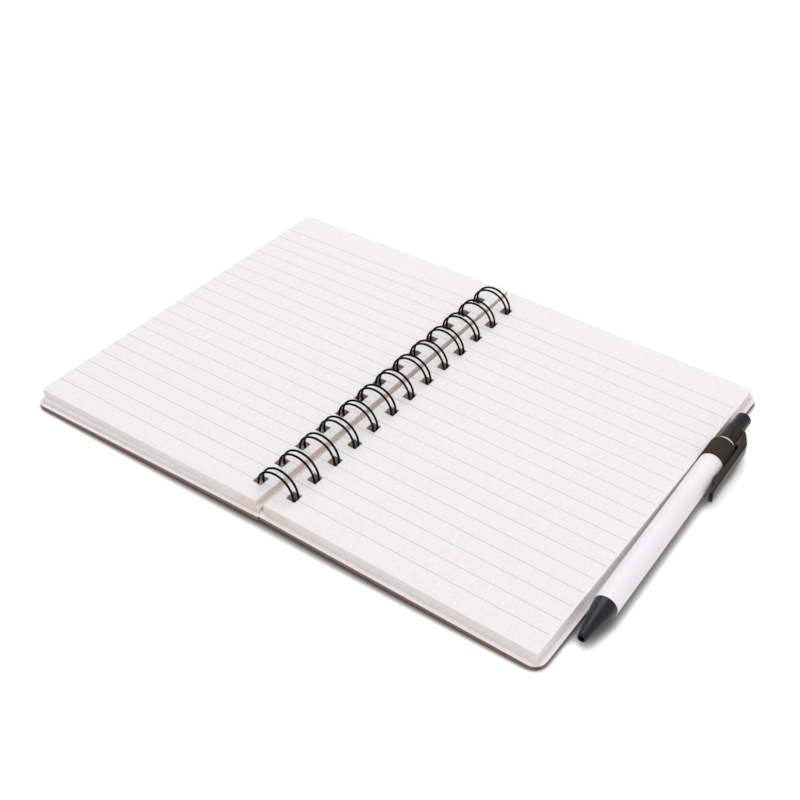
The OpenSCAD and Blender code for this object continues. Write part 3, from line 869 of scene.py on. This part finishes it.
def elasticMesh():
    # band around the pen, closed all round, with its place across the band kept as an attribute
    across, points, faces, shares = elastic["columns"], [], [], []
    turns = elastic["turns"]
    profile = []
    for k in range(across + 1):
        t = k / across
        lift = elastic["outer"] - 0.12 * max(0.0, (t - 0.9) / 0.1) ** 2
        profile.append((lift, elastic["start"] + elastic["width"] * t, t))
    profile.append((elastic["inner"], elastic["start"] + elastic["width"], -1))
    profile.append((elastic["inner"], elastic["start"], -1))
    for radius, along, share in profile:
        for k in range(turns):
            a = 2 * math.pi * k / turns
            points.append((radius * mm * math.cos(a), radius * mm * math.sin(a), along * mm))
            shares.append(share)
    rows = len(profile)
    for r in range(rows):
        for k in range(turns):
            n, q = (k + 1) % turns, (r + 1) % rows
            faces.append((r * turns + k, r * turns + n, q * turns + n, q * turns + k))
    mesh = meshFrom("elasticLoop", points, faces)
    store = mesh.attributes.new("across", "FLOAT", "POINT")
    store.data.foreach_set("value", shares)
    mesh.transform(penPlace)
    return mesh


def ribTree():
    tree, start, end = newTree("elasticRibs", [
        ("Ribs", "Float"), ("Rib Height", "Float"), ("Material", "Material"),
    ])
    share = addNode(tree, "GeometryNodeInputNamedAttribute", {"data_type": "FLOAT"}, {"Name": "across"})
    outside = addNode(tree, "FunctionNodeCompare", {"data_type": "FLOAT", "operation": "GREATER_THAN"}, {
        "A": share.outputs[0], "B": -0.5})
    turns = mathNode(tree, "MULTIPLY", share.outputs[0], start.outputs["Ribs"])
    wave = mathNode(tree, "ABSOLUTE", mathNode(tree, "SINE", mathNode(tree, "MULTIPLY", turns, math.pi)))
    rise = mathNode(tree, "MULTIPLY", mathNode(tree, "POWER", wave, 0.6), start.outputs["Rib Height"])
    normal = addNode(tree, "GeometryNodeInputNormal")
    inputs = {0: normal.outputs[0], "Scale": rise}
    offset = addNode(tree, "ShaderNodeVectorMath", {"operation": "SCALE"}, inputs)
    ribbed = addNode(tree, "GeometryNodeSetPosition", None, {
        "Geometry": start.outputs["Geometry"], "Selection": outside.outputs[0], "Offset": offset.outputs[0]})
    whole = addNode(tree, "GeometryNodeRealizeInstances", None, {0: ribbed.outputs[0]})
    painted = addNode(tree, "GeometryNodeSetMaterial", None, {
        "Geometry": whole.outputs[0], "Material": start.outputs["Material"]})
    tree.links.new(painted.outputs[0], end.inputs[0])
    return tree


def tailMesh():
    # flat end of the elastic between the back cover's board and liner
    depth = sheets["rightFloor"] - elastic["tailUnder"]  # below the liner, to the middle of the elastic
    low, high, half = elastic["tailLow"], elastic["tailHigh"], elastic["tailHalf"]
    rows, points, faces = 10, [], []
    for k in range(rows + 1):
        u = book["coverReach"] - elastic["tail"] + (elastic["tail"] + 3.2) * k / rows
        for y, w in ((low, -half), (high, -half), (high, half), (low, half)):
            points.append(onRight(u, y, depth + w))
    for k in range(rows):
        for j in range(4):
            a, b = k * 4 + j, k * 4 + (j + 1) % 4
            faces.append((a, b, b + 4, a + 4))
    faces += [(3, 2, 1, 0), tuple(rows * 4 + j for j in range(4))]
    return meshFrom("elasticTail", points, faces)


band = elasticMesh()
outward(band)
elasticLoop = addObject("elasticLoop", band)
runTree(elasticLoop, ribTree(), {
    "Ribs": elastic["ribs"], "Rib Height": elastic["ribHeight"] * mm, "Material": elasticWeave,
})
work = bmesh.new()
work.from_mesh(elasticLoop.data)
work.from_mesh(tailMesh())
bmesh.ops.recalc_face_normals(work, faces=work.faces)
work.to_mesh(elasticLoop.data)
work.free()
smoothBySharpness(elasticLoop.data, 50)
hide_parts("pen_loop")
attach(elasticLoop, "root")
print("stage: elastic loop", len(elasticLoop.data.polygons), "faces")

# Finishes on the CAD nodes that stay

finishes = {
    "back_cover_liner": liner,
    "front_cover_liner": liner,
    "pen_cam_rotor": rotorPlastic,
    "pen_refill_tube": clearTube,
    "pen_refill_tip": tipMetal,
    "pen_spring": springSteel,
}
for name, material in finishes.items():
    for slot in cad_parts[name].material_slots:
        slot.material = material
print("stage: CAD nodes finished")

# Floor and light

studio = {
    "floor": 0.86, "cameraGain": 1.40, "world": 0.59, "key": 6.4, "fill": 6.2,
    "contactReach": 0.0058, "contactDark": 0.20, "floorWhite": 0.3, "floorFade": 0.4, "floorSize": 3.0,
}


def whiteFloor():
    material, tree, surface, place = newMaterial("studioFloor", Roughness=0.9)
    surface.inputs["Specular IOR Level"].default_value = 0.0
    seen = directlySeen(tree)
    tone = noise(tree, place, 3.0, 2)
    # the shadow close to the object is darker and tighter than soft light alone makes it
    near = addNode(tree, "ShaderNodeAmbientOcclusion", {"samples": 24}, {"Distance": studio["contactReach"]})
    shade = ramp(tree, near.outputs["AO"], [
        (0.44, grey(studio["contactDark"])), (0.56, grey(0.34)), (0.70, grey(0.66)), (0.85, grey(1.0))])
    shown = mathNode(tree, "MULTIPLY", studio["cameraGain"], shade)
    extra = mathNode(tree, "MULTIPLY", seen, mathNode(tree, "SUBTRACT", shown, studio["floor"]))
    level = mathNode(tree, "ADD", extra, studio["floor"])
    drift = mathNode(tree, "ADD", mathNode(tree, "MULTIPLY", tone, 0.01), 0.995)
    level = mathNode(tree, "MULTIPLY", level, drift)
    diffuse = addNode(tree, "ShaderNodeBsdfDiffuse")
    colour = addNode(tree, "ShaderNodeCombineColor", None, {0: level, 1: level, 2: level})
    tree.links.new(colour.outputs[0], diffuse.inputs["Color"])
    # far from the object the floor turns into the white background
    distance = addNode(tree, "ShaderNodeVectorMath", {"operation": "LENGTH"}, {0: place}).outputs["Value"]
    past = mathNode(tree, "SUBTRACT", distance, studio["floorWhite"])
    far = mathNode(tree, "DIVIDE", past, studio["floorFade"], True)
    glow = addNode(tree, "ShaderNodeEmission", None, {"Strength": 1.0})
    blended = addNode(tree, "ShaderNodeMixShader", None, {0: mathNode(tree, "MULTIPLY", far, seen)})
    tree.links.new(diffuse.outputs[0], blended.inputs[1])
    tree.links.new(glow.outputs[0], blended.inputs[2])
    tree.links.new(blended.outputs[0], tree.nodes["Material Output"].inputs["Surface"])
    return material


half = studio["floorSize"]
floorCorners = [(x * half, y * half, -0.0001) for x, y in ((-1, -1), (1, -1), (1, 1), (-1, 1))]
floor = addObject("studioFloor", meshFrom("studioFloor", floorCorners, [(0, 1, 2, 3)]))
floor.data.materials.append(whiteFloor())

world = bpy.data.worlds.new("studioWorld")
scene.world = world
world.use_nodes = True
world.node_tree.nodes["Background"].inputs["Color"].default_value = (1, 1, 1, 1)
worldTree = world.node_tree
extra = mathNode(worldTree, "MULTIPLY", directlySeen(worldTree), 1 - studio["world"])
strength = mathNode(worldTree, "ADD", extra, studio["world"])
worldTree.links.new(strength, worldTree.nodes["Background"].inputs["Strength"])


def softbox(name, place, aim, size, energy):
    lamp = bpy.data.lights.new(name, "AREA")
    lamp.shape = "RECTANGLE"
    lamp.size, lamp.size_y = size
    lamp.energy = energy
    made = bpy.data.objects.new(name, lamp)
    scene.collection.objects.link(made)
    made.location = place
    made.rotation_euler = (Vector(aim) - Vector(place)).to_track_quat("-Z", "Y").to_euler()
    return made


softbox("keySoftbox", (-0.35, 0.55, 1.15), (0, 0, 0), (0.9, 0.9), studio["key"])
softbox("fillSoftbox", (0.75, -0.75, 1.15), (0, 0, 0), (1.0, 1.0), studio["fill"])

scene.view_settings.view_transform = "Standard"
